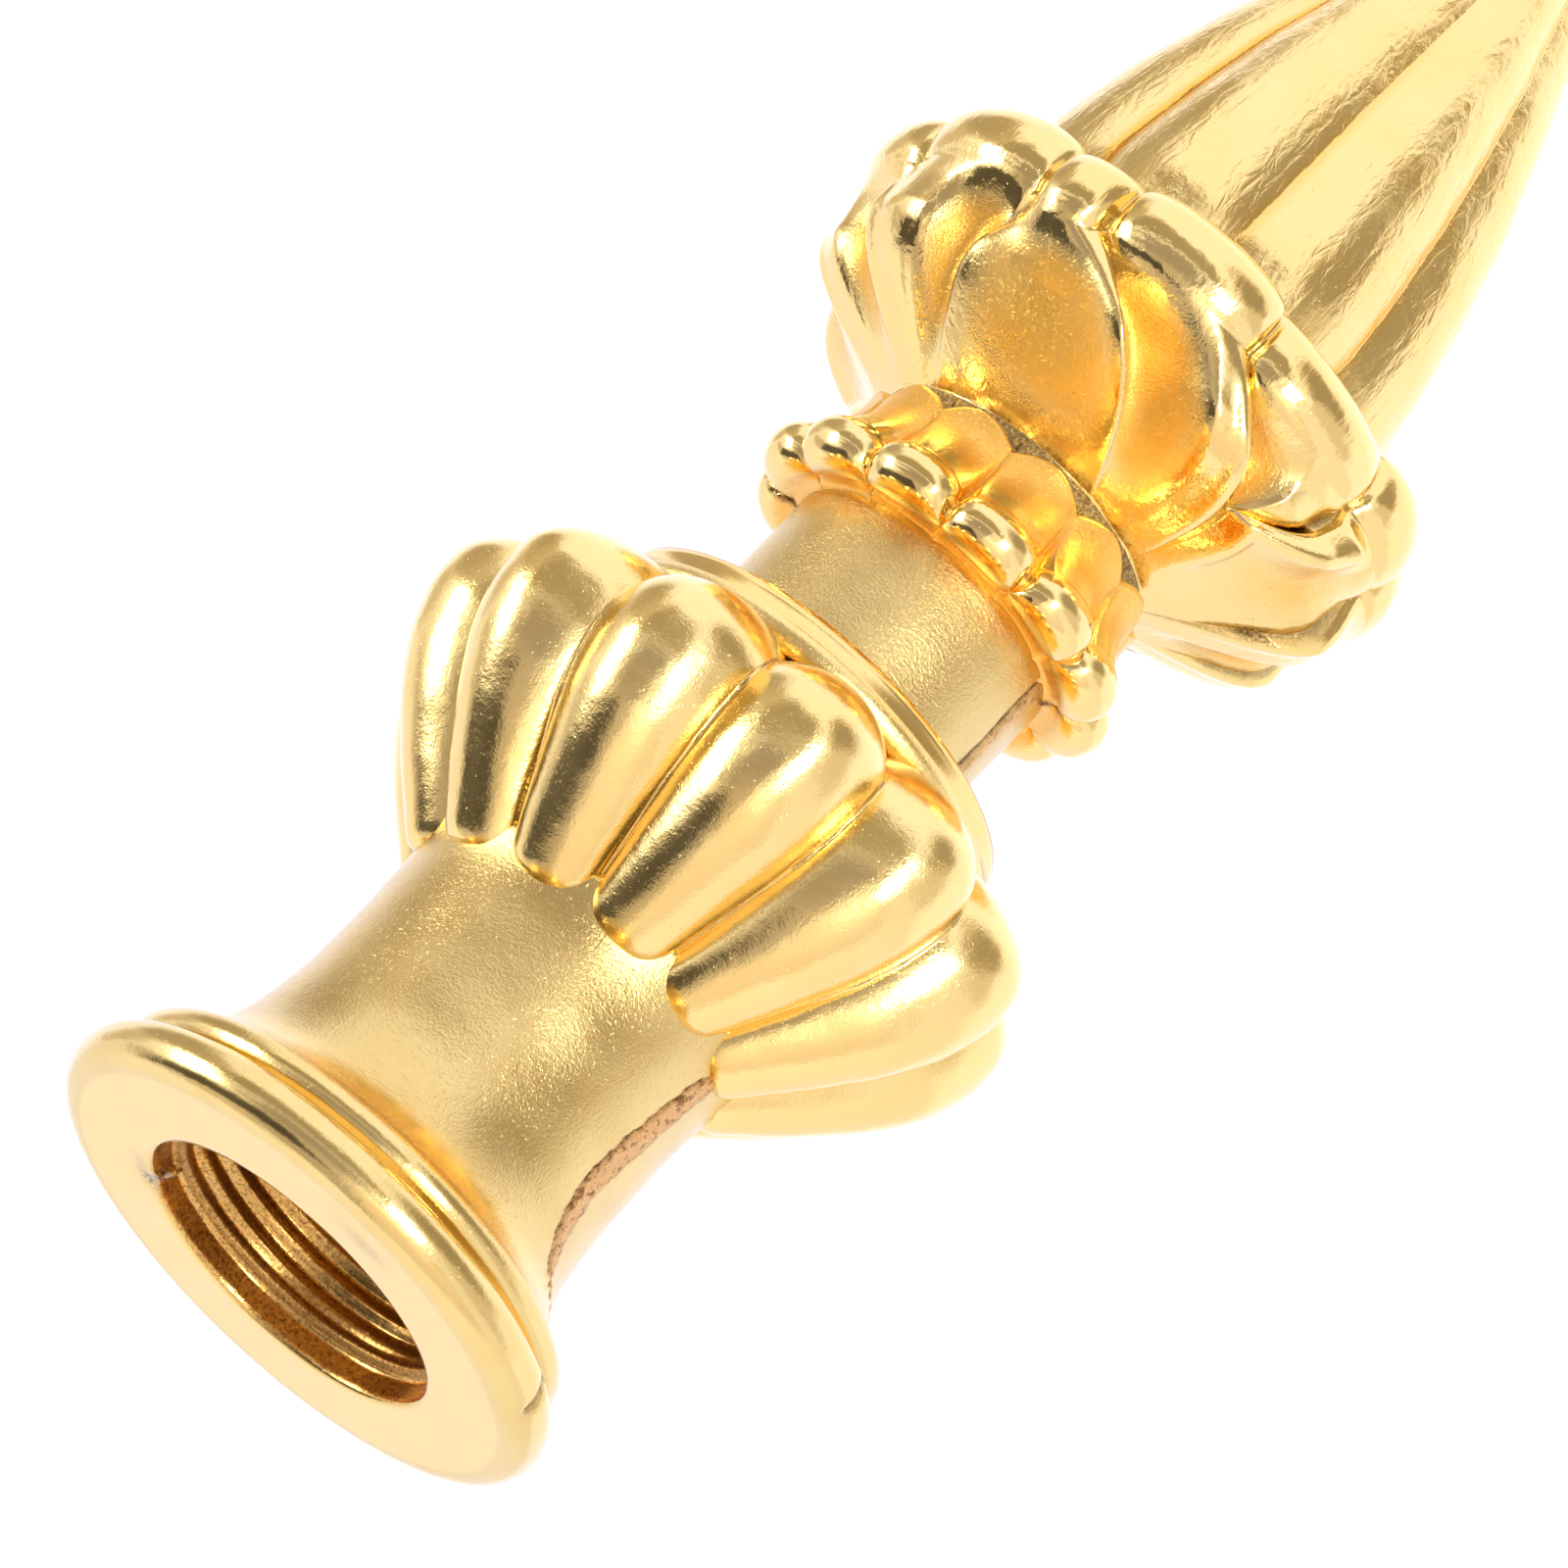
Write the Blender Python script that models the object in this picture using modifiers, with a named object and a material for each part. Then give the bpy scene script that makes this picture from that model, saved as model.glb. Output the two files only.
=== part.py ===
"""A cast lamp shade finial: a moulded foot with a blind socket, a waist, a bulb of lobes, a stem,
a leaf collar, a cup of petals and a fluted bud. It stands on its foot, with its axis along +Z."""

import math

import bmesh
import bpy

MM = 0.001

# Turning
STEPS = 72
MERGE = 0.01 * MM

# Foot: a rounded rim with a smaller bead above it
RIM_RADIUS = 8.82 * MM
RIM_HEIGHT = 1.65 * MM
RIM_EDGE = 0.5 * MM
FOOT_GROOVE_DEPTH = 0.3 * MM
BEAD_RADIUS = 8.05 * MM
BEAD_HEIGHT = 1.5 * MM

# Socket in the underside, to the crest of its thread, with a plain counterbore at its mouth
SOCKET_RADIUS = 4.75 * MM
SOCKET_DEPTH = 9.0 * MM
COUNTERBORE_CLEARANCE = 0.4 * MM
COUNTERBORE_DEPTH = 1.0 * MM

# Waist: it sweeps in from the foot, and flares again under the lobes
WAIST_RADIUS = 5.67 * MM
WAIST_FOOT_RADIUS = 7.25 * MM
WAIST_SWEEP = 1.45 * MM
WAIST_FLARE = 0.5 * MM
WAIST_FLARE_SWEEP = 0.6 * MM
WAIST_HEIGHT = 8.85 * MM

# Bulb of rounded lobes
LOBES = 12
LOBE_FOOT_RADIUS = 6.0 * MM
BULB_RADIUS = 10.87 * MM
BULB_RISE = 7.1 * MM
BULB_TOP_HEIGHT = 2.9 * MM
LOBE_GROOVE_DEPTH = 1.15 * MM
LOBE_END_LENGTH = 0.8 * MM
LOBE_TOP_DROP = 0.35 * MM

# Ring of two steps on the bulb, and the plain stem
RING_RADIUS = 7.25 * MM
RING_HEIGHT = 1.2 * MM
RING_STEP = 0.2 * MM
STEM_RADIUS = 4.66 * MM
STEM_HEIGHT = 4.95 * MM

# Collar of small leaves, each with a fat bead along its foot
LEAVES = 12
COLLAR_RADIUS = 6.55 * MM
COLLAR_CREST_HEIGHT = 0.95 * MM
COLLAR_HEIGHT = 4.0 * MM
LEAF_TIP_RADIUS = 5.3 * MM
LEAF_GROOVE_DEPTH = 0.4 * MM
LEAF_NOTCH_HEIGHT = 0.9 * MM
LEAF_HOLLOW_DEPTH = 0.25 * MM

# Neck ring between the collar and the cup
NECK_RADIUS = 4.92 * MM
NECK_HEIGHT = 0.4 * MM

# Cup of petals. The flank opens from the neck to the shoulder, and the lips roll over above it
CUP_FLANK_HEIGHT = 3.1 * MM
CUP_SHOULDER_RADIUS = 9.4 * MM
CUP_RADIUS = 10.15 * MM
CUP_LIP_HEIGHT = 2.5 * MM
CUP_ROLL_HEIGHT = 1.0 * MM
CUP_RIM_RADIUS = 8.6 * MM
CUP_TRENCH_DEPTH = 0.4 * MM
PETAL_HOLLOW_DEPTH = 1.3 * MM
PETAL_NOTCH_DEPTH = 0.7 * MM
PETAL_FULL_WIDTH = 35
# Petals of one half turn, which the other half repeats: the angle of a petal's first edge at the foot of
# the cup and at the lips, in degrees, and how far the middle of its lip stands above the rim's notches
PETALS = (
    (-180, -180, 0.7 * MM),
    (-155, -149, 1.0 * MM),
    (-134, -115, 0.4 * MM),
    (-57, -100, 0.8 * MM),
    (-32, -65, 0.2 * MM),
    (-61, -27, 1.1 * MM),
)

# Fluted bud, which ends in a rounded tip
BUD_RIBS = 8
BUD_RIB_TURN = 7.5
BUD_RADIUS = 7.3 * MM
BUD_SHANK_HEIGHT = 1.8 * MM
BUD_HEIGHT = 21.3 * MM
BUD_TAPER = 1.5
BUD_GROOVE_SHARE = 0.085
TIP_RADIUS = 0.8 * MM

# Heights of the levels where one moulding meets the next
FOOT_TOP = RIM_HEIGHT + BEAD_HEIGHT
LOBE_FOOT = FOOT_TOP + WAIST_HEIGHT
BULB_CREST = LOBE_FOOT + BULB_RISE
BULB_TOP = BULB_CREST + BULB_TOP_HEIGHT
RING_TOP = BULB_TOP + RING_HEIGHT
COLLAR_FOOT = RING_TOP + STEM_HEIGHT
COLLAR_CREST = COLLAR_FOOT + COLLAR_CREST_HEIGHT
COLLAR_TOP = COLLAR_FOOT + COLLAR_HEIGHT
CUP_FOOT = COLLAR_TOP + NECK_HEIGHT
CUP_SHOULDER = CUP_FOOT + CUP_FLANK_HEIGHT
CUP_LIP = CUP_SHOULDER + CUP_LIP_HEIGHT
CUP_TOP = CUP_LIP + CUP_ROLL_HEIGHT
BUD_FOOT = CUP_TOP + BUD_SHANK_HEIGHT

# Fullness of the curves between two levels: above 1 is slack, and below 1 is full
RIM_FULLNESS = 4
BEAD_FULLNESS = 0.7
BULB_TOP_BEND = 2.4
BULB_TOP_FULLNESS = 0.85
LEAF_FULLNESS = 1.2
CUP_FULLNESS = 1.15
HOLLOW_BIAS = 1.4
HOLLOW_END = 0.92
LIP_START = 0.7

GOLD = (0.80, 0.62, 0.26, 1.0)
GOLD_ROUGHNESS = 0.25


def shares(count, first=0, last=1):
    """Even shares from first to last, both included."""
    return [first + (last - first) * i / (count - 1) for i in range(count)]


def mix(a, b, share):
    return a + (b - a) * share


def bow(share):
    """Rises from 0 to 1 as a quarter wave does."""
    return math.sin(math.pi / 2 * share)


def arc(share):
    """Falls from 1 to 0 as a quarter circle does."""
    return math.sqrt(max(0, 1 - share * share))


def waist_radius(z):
    """The waist's radius: it falls away from the foot and swells again under the lobes."""
    sweep = (WAIST_FOOT_RADIUS - WAIST_RADIUS) * math.exp(-(z - FOOT_TOP) / WAIST_SWEEP)
    flare = WAIST_FLARE * math.exp((z - LOBE_FOOT - LOBE_END_LENGTH) / WAIST_FLARE_SWEEP)
    return WAIST_RADIUS + sweep + flare


def lobe_crest_radius(z):
    """The radius along the back of a lobe."""
    if z <= BULB_CREST:
        return mix(LOBE_FOOT_RADIUS, BULB_RADIUS, bow(max(0, (z - LOBE_FOOT) / BULB_RISE)))
    share = min(1, (z - BULB_CREST) / BULB_TOP_HEIGHT)
    return mix(RING_RADIUS, BULB_RADIUS, (1 - share**BULB_TOP_BEND) ** BULB_TOP_FULLNESS)


def foot_profile():
    """The rim and the bead above it, from the edge of the flat underside."""
    middle = RIM_HEIGHT / 2
    points = [(RIM_RADIUS - RIM_EDGE, 0)]
    for share in shares(3, -0.8, 0.8):
        points.append((RIM_RADIUS - RIM_EDGE * share**RIM_FULLNESS, middle * (1 + share)))
    points.append((BEAD_RADIUS - FOOT_GROOVE_DEPTH, RIM_HEIGHT))
    for share in shares(3, 0.2, 0.85):
        radius = mix(BEAD_RADIUS, WAIST_FOOT_RADIUS, 1 - (1 - bow(share)**2) ** (BEAD_FULLNESS / 2))
        points.append((radius, RIM_HEIGHT + BEAD_HEIGHT * share))
    return points


def bulb_profile():
    """The waist, then the backs of the lobes up to the ring."""
    waist = [FOOT_TOP + WAIST_HEIGHT * share**1.4 for share in shares(5, 0, 0.93)]
    rise = [LOBE_FOOT + BULB_RISE * share**1.3 for share in shares(8)]
    fall = [BULB_CREST + BULB_TOP_HEIGHT * share for share in (0.4, 0.7, 0.9)]
    return [(waist_radius(z), z) for z in waist] + [(lobe_crest_radius(z), z) for z in rise + fall]


def stem_profile():
    """The two steps of the ring and the plain stem."""
    step = BULB_TOP + RING_HEIGHT / 2
    upper = RING_RADIUS - RING_STEP
    return [
        (RING_RADIUS, BULB_TOP),
        (RING_RADIUS, step - RING_STEP / 2),
        (upper, step + RING_STEP / 2),
        (upper, RING_TOP - RING_STEP / 2),
        (STEM_RADIUS, RING_TOP),
        (STEM_RADIUS, COLLAR_FOOT),
    ]


def collar_profile():
    """The hollow under the leaf beads, the beads and the leaves, and the neck."""
    points = []
    for share in (0.16, 0.55):
        radius = mix(STEM_RADIUS, COLLAR_RADIUS, arc(1 - share))
        points.append((radius, COLLAR_FOOT + COLLAR_CREST_HEIGHT * share))
    for share in (0, 0.18, 0.36, 0.55, 0.75, 0.93):
        radius = mix(COLLAR_RADIUS, LEAF_TIP_RADIUS, bow(share) ** LEAF_FULLNESS)
        points.append((radius, mix(COLLAR_CREST, COLLAR_TOP, share)))
    return points + [(NECK_RADIUS, COLLAR_TOP), (NECK_RADIUS, CUP_FOOT)]


def cup_profile():
    """The flank of the cup, its rolled lip and the trench between the lip and the bud."""
    points = []
    for share in shares(6, 0.14, 1):
        radius = mix(NECK_RADIUS, CUP_SHOULDER_RADIUS, bow(share) ** CUP_FULLNESS)
        points.append((radius, mix(CUP_FOOT, CUP_SHOULDER, share)))
    for share in shares(4, 0.25, 1):
        points.append((mix(CUP_SHOULDER_RADIUS, CUP_RADIUS, bow(share)), mix(CUP_SHOULDER, CUP_LIP, share)))
    for share in (0.5, 0.85, 1):
        points.append((mix(CUP_RIM_RADIUS, CUP_RADIUS, arc(share)), mix(CUP_LIP, CUP_TOP, share)))
    points.append(((CUP_RIM_RADIUS + BUD_RADIUS) / 2, CUP_TOP - CUP_TRENCH_DEPTH))
    return points


def bud_radius(z):
    share = max(0, (z - BUD_FOOT) / BUD_HEIGHT)
    return BUD_RADIUS * (1 - share**BUD_TAPER)


def bud_profile():
    """The bud up to the ball of its tip, which meets the taper where it is as wide as the ball."""
    ball = BUD_FOOT + BUD_HEIGHT * (1 - TIP_RADIUS / BUD_RADIUS) ** (1 / BUD_TAPER)
    points = [(bud_radius(z), z) for z in [CUP_TOP] + [mix(BUD_FOOT, ball, share) for share in shares(8)]]
    angle = math.radians(45)
    points.append((TIP_RADIUS * math.cos(angle), ball + TIP_RADIUS * math.sin(angle)))
    return points + [(0, ball + TIP_RADIUS)]


def turned_profile():
    """The whole profile as (radius, height), from the middle of the underside to the tip."""
    points = [(0, 0)] + foot_profile() + bulb_profile() + stem_profile()
    return points + collar_profile() + cup_profile() + bud_profile()


def place_in_cell(angle, count):
    """0 on the middle line of one of count equal cells round the axis, and 1 on the line between two cells."""
    return abs(2 * ((math.degrees(angle) * count / 360) % 1) - 1)


def carve_bulb(radius, z, angle):
    """Lobes with rounded ends: their outline is pulled up and in towards the grooves."""
    fall = 1 - arc(place_in_cell(angle, LOBES))
    if z <= BULB_CREST:
        end = z - LOBE_END_LENGTH * fall
        if end < LOBE_FOOT:
            return waist_radius(z), z
        depth = LOBE_GROOVE_DEPTH * min(1, (end - LOBE_FOOT) / LOBE_END_LENGTH / 2)
        return max(waist_radius(LOBE_FOOT), lobe_crest_radius(end) - depth * fall), z
    share = (z - BULB_CREST) / BULB_TOP_HEIGHT
    top = min(BULB_TOP, z + LOBE_TOP_DROP * fall * share)
    return max(RING_RADIUS, lobe_crest_radius(top) - LOBE_GROOVE_DEPTH * fall), z


def carve_collar(radius, z, angle):
    """Leaves: a groove between two beads, a hollow face above each bead, and a notch between two tips."""
    place = place_in_cell(angle, LEAVES)
    if z > COLLAR_TOP - LEAF_NOTCH_HEIGHT * place:
        return NECK_RADIUS, z
    bead = math.exp(-(((z - COLLAR_CREST) / COLLAR_CREST_HEIGHT) ** 2))
    groove = LEAF_GROOVE_DEPTH * (1 - arc(place)) * bead
    face = math.sin(math.pi * min(1, (z - COLLAR_FOOT) / COLLAR_HEIGHT)) * (1 - bead)
    return radius - groove - LEAF_HOLLOW_DEPTH * arc(place) * face, z


def petal_edges(share):
    """The petals' first edges, each with its lip's rise, for a share of the way up to the lips. An edge never
    passes back over the one before it: the petal between them is hidden there."""
    edges = []
    for half in (0, 180):
        for foot, lip, rise in PETALS:
            angle = max([mix(foot, lip, share) + half] + [before[0] for before in edges])
            edges.append((angle, rise))
    return edges


def carve_cup(radius, z, angle):
    """Petals: each is hollow between its edges, and its lip bulges and stands up instead."""
    share = min(1, (z - CUP_FOOT) / (CUP_LIP - CUP_FOOT))
    edges = petal_edges(share)
    turn = (math.degrees(angle) - edges[0][0]) % 360 + edges[0][0]
    first, rise = [edge for edge in edges if edge[0] <= turn][-1]
    last = min([edge[0] for edge in edges if edge[0] > turn] + [edges[0][0] + 360])
    place = abs(2 * (turn - first) / (last - first) - 1)
    width = min(1, (last - first) / PETAL_FULL_WIDTH)
    hollow = width * (1 - place**2) * math.sin(math.pi * min(1, share / HOLLOW_END) ** HOLLOW_BIAS)
    lip = max(0, (share - LIP_START) / (1 - LIP_START))
    notch = (1 - arc(place)) * lip * arc(max(0, (z - CUP_LIP) / CUP_ROLL_HEIGHT))
    inner = min(1, max(0, (radius - BUD_RADIUS) / (CUP_RIM_RADIUS - BUD_RADIUS)))
    carved = radius - PETAL_HOLLOW_DEPTH * hollow - PETAL_NOTCH_DEPTH * notch
    return carved, z + rise * lip * inner * arc(place)


def carve_bud(radius, z, angle):
    """Ribs with round backs and sharp grooves, in proportion to the bud's own radius."""
    place = place_in_cell(angle - math.radians(BUD_RIB_TURN), BUD_RIBS)
    return radius * (1 - BUD_GROOVE_SHARE * (1 - arc(place))), z


def carver_at(radius, z):
    """The function that carves the moulding at this point, or None where the body stays as it is turned."""
    if LOBE_FOOT - MERGE < z < BULB_TOP - MERGE:
        return carve_bulb
    if COLLAR_FOOT + MERGE < z < COLLAR_TOP - MERGE:
        return carve_collar
    if z > CUP_TOP - MERGE and TIP_RADIUS + MERGE < radius < BUD_RADIUS + MERGE:
        return carve_bud
    if CUP_FOOT + MERGE < z < CUP_TOP + MERGE:
        return carve_cup
    return None


def carve(obj):
    """Moves each point of the turned body by the carving of its moulding."""
    for vertex in obj.data.vertices:
        x, y, z = vertex.co
        radius = math.hypot(x, y)
        carver = carver_at(radius, z)
        if carver:
            carved, height = carver(radius, z, math.atan2(y, x))
            vertex.co = (x * carved / radius, y * carved / radius, height)


def new_collection(name):
    collection = bpy.data.collections.new(name)
    bpy.context.scene.collection.children.link(collection)
    return collection


def turned_body(name, collection):
    """The profile turned round +Z with a Screw modifier, which is then applied."""
    mesh = bpy.data.meshes.new(name)
    shape = bmesh.new()
    points = [shape.verts.new((radius, 0, z)) for radius, z in reversed(turned_profile())]
    for a, b in zip(points, points[1:]):
        shape.edges.new((a, b))
    shape.to_mesh(mesh)
    shape.free()
    profile = bpy.data.objects.new(name, mesh)
    collection.objects.link(profile)
    screw = profile.modifiers.new("turn", "SCREW")
    screw.steps = STEPS
    screw.render_steps = STEPS
    screw.use_merge_vertices = True
    screw.merge_threshold = MERGE
    depsgraph = bpy.context.evaluated_depsgraph_get()
    turned = bpy.data.meshes.new_from_object(profile.evaluated_get(depsgraph))
    profile.modifiers.clear()
    profile.data = turned
    turned.name = name
    return profile


def cutter(name, radius, depth, collection):
    """A cylinder that cuts a hole of this radius and depth into the underside."""
    below = 1 * MM
    bpy.ops.mesh.primitive_cylinder_add(
        vertices=STEPS // 2, radius=radius, depth=depth + below, location=(0, 0, (depth - below) / 2)
    )
    tool = bpy.context.active_object
    tool.name = name
    for owner in list(tool.users_collection):
        owner.objects.unlink(tool)
    collection.objects.link(tool)
    tool.hide_render = True
    tool.display_type = "WIRE"
    return tool


def gold_material():
    material = bpy.data.materials.new("gold_plate")
    material.use_nodes = True
    shader = material.node_tree.nodes["Principled BSDF"]
    shader.inputs["Base Color"].default_value = GOLD
    shader.inputs["Metallic"].default_value = 1.0
    shader.inputs["Roughness"].default_value = GOLD_ROUGHNESS
    return material


def main():
    for obj in list(bpy.data.objects):
        bpy.data.objects.remove(obj)
    part = new_collection("lamp_finial")
    cutters = new_collection("cutters")
    finial = turned_body("finial", part)
    carve(finial)
    finial.data.materials.append(gold_material())
    finial.data.shade_smooth()
    mouth = SOCKET_RADIUS + COUNTERBORE_CLEARANCE
    holes = (
        cutter("counterbore_cutter", mouth, COUNTERBORE_DEPTH, cutters),
        cutter("socket_cutter", SOCKET_RADIUS, SOCKET_DEPTH, cutters),
    )
    for hole in holes:
        cut = finial.modifiers.new(hole.name, "BOOLEAN")
        cut.operation = "DIFFERENCE"
        cut.object = hole
        cut.solver = "EXACT"


main()
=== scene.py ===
import math
from collections import namedtuple

import bmesh
import bpy
import numpy as np
from mathutils import Matrix, Vector


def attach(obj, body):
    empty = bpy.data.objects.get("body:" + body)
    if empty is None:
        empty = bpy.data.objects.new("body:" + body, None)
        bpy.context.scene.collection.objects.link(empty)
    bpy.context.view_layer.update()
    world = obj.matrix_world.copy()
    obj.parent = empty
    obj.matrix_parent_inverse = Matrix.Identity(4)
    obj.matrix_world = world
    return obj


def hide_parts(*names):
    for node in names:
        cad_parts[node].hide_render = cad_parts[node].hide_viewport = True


# A cast, gold plated lamp shade finial on its foot, with its axis along +Z. Lengths in the shape functions
# are in millimetres and angles in degrees, turning from the mould's parting plane.

MM = 0.001
LOBES = 12
LEAVES = 12
RIBS = 8

# Levels and radii, close to the solid model's
SOCKET_TOP = 9.0
BORE_RADIUS = 4.75
LEDGE_LEVEL = 1.0
MOUTH_RADIUS = 5.15
WAIST_TOP = 13.2
LOBE_FOOT = 12.0
BULB_CREST = 19.1
BULB_TOP = 22.0
BULB_RADIUS = 10.87
STEM_FOOT = 23.3
STEM_RADIUS = 4.66
COLLAR_FOOT = 28.12
COLLAR_TOP = 32.15
CUP_FOOT = 32.55
LIP_RADIUS = 10.25
LIP_TOP = 39.55
BUD_FOOT = 40.95
BUD_RADIUS = 7.3
BUD_LENGTH = 21.3

# The thread in the foot
THREAD_PITCH = 0.75
THREAD_DEPTH = 0.34

# Petals of one half turn. foot and lip are the angles of a petal's first edge at the cup's foot and at the
# lips, and curve shapes its line between them. top and fat are the height and thickness of its lip.
# over_left and over_right say whether it lies under its neighbour (0), over it (1), or over it with a thick
# fold (2). pit_at, pit_wide and pit_deep are its hollow's place, width and depth, the first two as shares of
# half its width, and the place from -1 at its first edge to 1 at its last.
Petal = namedtuple("Petal", "foot lip curve top fat over_left over_right pit_at pit_wide pit_deep")
PETALS = (
    Petal(-180, -180, 1.0, 39.6, 1.2, 1, 0, 0.35, 0.6, 0.9),
    Petal(-155, -149, 1.0, 40.0, 1.4, 1, 0, 0.66, 0.5, 1.3),
    Petal(-134, -115, 0.75, 39.3, 1.45, 0, 1, 0.12, 1.25, 1.35),
    Petal(-57, -100, 0.75, 39.7, 1.35, 0, 1, -0.5, 0.95, 1.5),
    Petal(-30, -65, 0.85, 39.1, 1.3, 0, 0, -0.5, 0.65, 1.3),
    Petal(-142, -27, 0.2, 40.0, 1.35, 2, 0, 0.1, 0.9, 0.5),
)

# Which of them has the paler painted orange reflection in its hollow and which is the short one, the degrees
# left between two petals, and the radius at which a petal's width is taken
PALE_PETAL = 2
SHORT_PETAL = 5
PETAL_GAP = 0.35
CUP_MEAN_RADIUS = 9.0

# Shares of the rows at which the cup's flank ends and its lip begins, and at which the lip ends
FLANK_END = 0.61
ROLL_END = 0.91

# Shares of the rows at which each part of the collar ends: its hollow underside, its beads, the faces of its
# leaves, their cut edge, and the neck above them
UNDER_END = 0.22
BEAD_END = 0.56
LEAF_END = 0.86
EDGE_END = 0.91
NECK_END = 0.98

# The room's brightness, and its darker and brighter parts: azimuth (0 is -Y, 90 is +X) and elevation, the
# angles round that direction where each is full and where it ends, and its brightness
ROOM_LEVEL = 1.18
ROOM_PARTS = (
    (-5, -8, 26, 36, 0.40),
    (-38, -6, 26, 37, 0.40),
    (55, 36, 14, 32, 0.38),
    (72, 2, 14, 30, 0.76),
    (-76, 20, 8, 20, 0.54),
    (-98, 28, 10, 24, 0.45),
    (-112, 5, 8, 20, 0.66),
    (175, 58, 20, 42, 1.3),
)
DIM_LIGHT = (1.08, 0.955, 0.86, 1)
BRIGHT_LIGHT = (1.0, 1.01, 1.24, 1)

# Cards that lie on the floor out of the picture and darken what the gold shows from below: middle, size,
# turn and brightness
FLOOR_CARDS = (
    ("far_card", (-0.36, -1.2), (1.2, 1.3), 12, 0.34),
    ("front_card", (-0.13, -0.44), (0.40, 0.45), 12, 0.34),
    ("near_card", (-0.09, -0.12), (0.20, 0.26), 0, 0.42),
    ("middle_card", (0.15, -0.11), (0.27, 0.20), 0, 0.72),
    ("side_card", (-0.59, 0.138), (1.1, 0.105), -15, 0.56),
    ("black_card", (-0.15, -0.045), (0.27, 0.12), -45, 0.04),
)
CARD_TINT = (1.06, 0.96, 0.86)
FLOOR_TINT = (1.0, 0.99, 0.95)
FLOOR_SHADE = 0.97
FLOOR_LEVEL = -0.14
FLOOR_SIZE = 12
PAPER_WHITE = 0.96
PAPER_ROUGHNESS = 0.8

# The photograph's view: direction and roll in degrees, distance and aim in millimetres, lens in millimetres
VIEW_AZIMUTH = 13.0
VIEW_ELEVATION = -21.37
VIEW_ROLL = 43.421
VIEW_DISTANCE = 342.39
VIEW_AIM = (0.651, 0.15, 21.333)
VIEW_LENS = 270

# Colours of the plate, of the bare casting and of dirt, with the painted orange reflection, the painted
# glint, and dirt colours that also paint shade
GOLD = (1.0, 0.725, 0.255, 1)
PALE_GOLD = (1.0, 0.75, 0.29, 1)
DULL_GOLD = (0.46, 0.325, 0.115, 1)
# The orange for the hollows is a painted reflection of gold in gold
PAINTED_ORANGE_REFLECTION = (1.0, 0.54, 0.08, 1)
THIN_PLATE = (0.72, 0.42, 0.13, 1)
TARNISH = (0.26, 0.14, 0.04, 1)
RAW_CASTING = (0.36, 0.18, 0.06, 1)
FILED_CASTING = (0.82, 0.50, 0.21, 1)
# The bright specks on the filed casting are painted glints
PAINTED_GLINT = (1.0, 0.75, 0.3, 1)
# The dirt colours also paint the shade in the steps under overlapping petals
DARK_DIRT_AND_SHADE = (0.16, 0.07, 0.02, 1)
PALE_DIRT_AND_SHADE = (0.52, 0.33, 0.14, 1)
# The socket's darker colour, for the bottoms of the threads and the hole's mouth
DARK_SOCKET_COLOUR = (0.30, 0.16, 0.045, 1)
CRACK_DIRT = (0.07, 0.03, 0.01, 1)
BARE_NICK = (0.16, 0.17, 0.22, 1)


def mix(a, b, share):
    return a + (b - a) * share


def stage(share, start, end):
    """0 up to the start, 1 from the end, and an even rise between."""
    return np.clip((share - start) / (end - start), 0, 1)


def ramp(x, low, high):
    """0 below low, 1 above high, smooth between."""
    share = stage(x, low, high)
    return share * share * (3 - 2 * share)


def bell(x, middle, width):
    """1 at the middle, and almost 0 from two widths away."""
    return np.exp(-(((x - middle) / width) ** 2))


def cell(turn, count):
    """0 on the middle line of one of count equal cells round the axis, and 1 on the line between two."""
    return np.abs(2 * np.mod(turn * count / 360, 1) - 1)


def back(place, slope=58):
    """1 on a cell's middle line and 0 at its edges, round as an arc of a circle that ends at this slope."""
    edge = math.radians(slope)
    return (np.cos(edge * place) - math.cos(edge)) / (1 - math.cos(edge))


def seam_offset(turn):
    """Degrees from the nearer seam of the two mould halves, below 0 before it and above 0 past it."""
    return np.mod(turn + 90, 180) - 90


def wander(turn, z, seed):
    """A slow unevenness between about -1 and 1 over a cast surface."""
    a = np.radians(turn)
    total = np.sin(3 * a + 0.9 * z + seed) + np.sin(5 * a - 1.7 * z + 2.1 * seed)
    return (total + np.sin(8 * a + 2.3 * z + 3.7 * seed) + np.sin(2 * a + 4.1 * z - seed)) / 4


def round_point(middle_r, middle_z, wide, high, angle):
    """Radius and height on an ellipse in the profile plane, at an angle in radians."""
    return middle_r + wide * np.cos(angle), middle_z + high * np.sin(angle)


def arc_points(middle_r, middle_z, wide, high, first, last, count=14, power=1.0):
    """Points on part of an ellipse in the profile plane, from one angle to another. A power below 1 makes it
    squarer."""
    points = []
    for angle in np.radians(np.linspace(first, last, count)):
        c, s = math.cos(angle), math.sin(angle)
        points.append((middle_r + wide * math.copysign(abs(c) ** power, c), middle_z + high * s))
    return points


def path(points, count):
    """The polyline through the points, as count points at even steps of its length."""
    points = np.array(points, float)
    steps = np.hypot(*np.diff(points, axis=0).T)
    along = np.concatenate([[0], np.cumsum(steps)])
    even = np.linspace(0, along[-1], count)
    return np.interp(even, along, points[:, 0]), np.interp(even, along, points[:, 1])


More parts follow.
